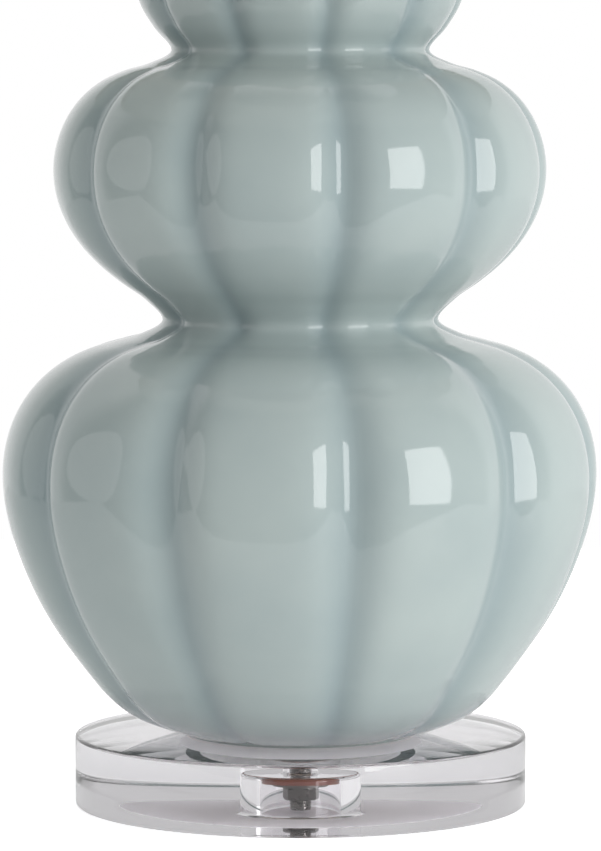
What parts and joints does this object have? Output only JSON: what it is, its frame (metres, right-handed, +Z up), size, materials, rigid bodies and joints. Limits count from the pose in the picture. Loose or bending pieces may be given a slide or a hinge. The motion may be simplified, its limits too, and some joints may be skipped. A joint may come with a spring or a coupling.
{
  "type": "table lamp",
  "caption": "Table lamp with a ribbed triple-gourd ceramic body on a clear round base, a harp, a socket and a drum shade.",
  "frame": {"origin": "on the table, under the middle of the clear base", "axes": "+Z up along the lamp's axis; -Y is the front, where one lobe of the body and the switch knob face; the cord outlet is at +Y"},
  "size_m": [0.408, 0.408, 0.6948],
  "materials": {
    "felt": "matte grey felt",
    "acrylic": "clear polished acrylic",
    "fibre": "red-brown vulcanised fibre",
    "steel": "zinc-plated steel",
    "brass_hardware": "plain brass",
    "zinc_rod": "zinc-plated lamp pipe",
    "gasket": "pale soft ring",
    "glaze": "glossy celadon glaze",
    "bushing_plastic": "pale moulded plastic",
    "nickel": "polished nickel",
    "card_liner": "waxed insulating card",
    "phenolic": "black phenolic",
    "knob_plastic": "black moulded plastic",
    "ring_wire": "white coated wire",
    "shade_linen": "off-white linen on a stiff liner",
    "shade_trim": "off-white folded tape",
    "bulb_glass": "frosted glass",
    "bulb_metal": "bright aluminium"
  },
  "bodies": {
    "lamp_base": {"acrylic_base": "acrylic", "base_nut": "steel", "centre_contact": "brass_hardware", "ceramic_body": "glaze", "cord_bushing": "bushing_plastic", "fibre_washer": "fibre", "flat_washer": "steel", "foot_gasket": "gasket", "harp": "nickel", "harp_saddle": "nickel", "lock_washer": "steel", "neck_tube": "nickel", "screw_shell": "brass_hardware", "set_screw": "steel", "shell_liner": "card_liner", "socket_cap": "nickel", "socket_interior": "phenolic", "socket_shell": "nickel", "terminal_screws": "brass_hardware", "threaded_rod": "zinc_rod", "underside_pad": "felt", "vase_cap": "nickel"},
    "switch": {"switch_shaft": "steel", "switch_knob": "knob_plastic"},
    "left_ferrule": {"ferrule_left": "nickel"},
    "right_ferrule": {"ferrule_right": "nickel"},
    "shade": {"harp_swivel": "nickel", "shade_spider": "ring_wire", "shade_bottom_ring": "ring_wire", "shade_drum": "shade_linen", "shade_top_trim": "shade_trim", "shade_bottom_trim": "shade_trim"},
    "finial": {"finial": "nickel"},
    "bulb": {"bulb_envelope": "bulb_glass", "bulb_base": "bulb_metal", "bulb_contact": "bulb_metal"}
  },
  "joints": [
    {"name": "switch_turn", "type": "hinge", "parent": "lamp_base", "child": "switch", "pos_m": [0, -0.02095, 0.46315], "axis": [0, -1, 0], "continuous": true},
    {"name": "left_ferrule_slide", "type": "slide", "parent": "lamp_base", "child": "left_ferrule", "axis": [0, 0, 1], "range_m": [0, 0.012]},
    {"name": "right_ferrule_slide", "type": "slide", "parent": "lamp_base", "child": "right_ferrule", "axis": [0, 0, 1], "range_m": [0, 0.012]},
    {"name": "shade_turn", "type": "hinge", "parent": "lamp_base", "child": "shade", "pos_m": [0, 0, 0.66185], "axis": [0, 0, 1], "continuous": true},
    {"name": "finial_turn", "type": "hinge", "parent": "shade", "child": "finial", "pos_m": [0, 0, 0.66375], "axis": [0, 0, 1], "continuous": true},
    {"name": "bulb_turn", "type": "hinge", "parent": "lamp_base", "child": "bulb", "pos_m": [0, 0, 0.46865], "axis": [0, 0, 1], "continuous": true}
  ]
}
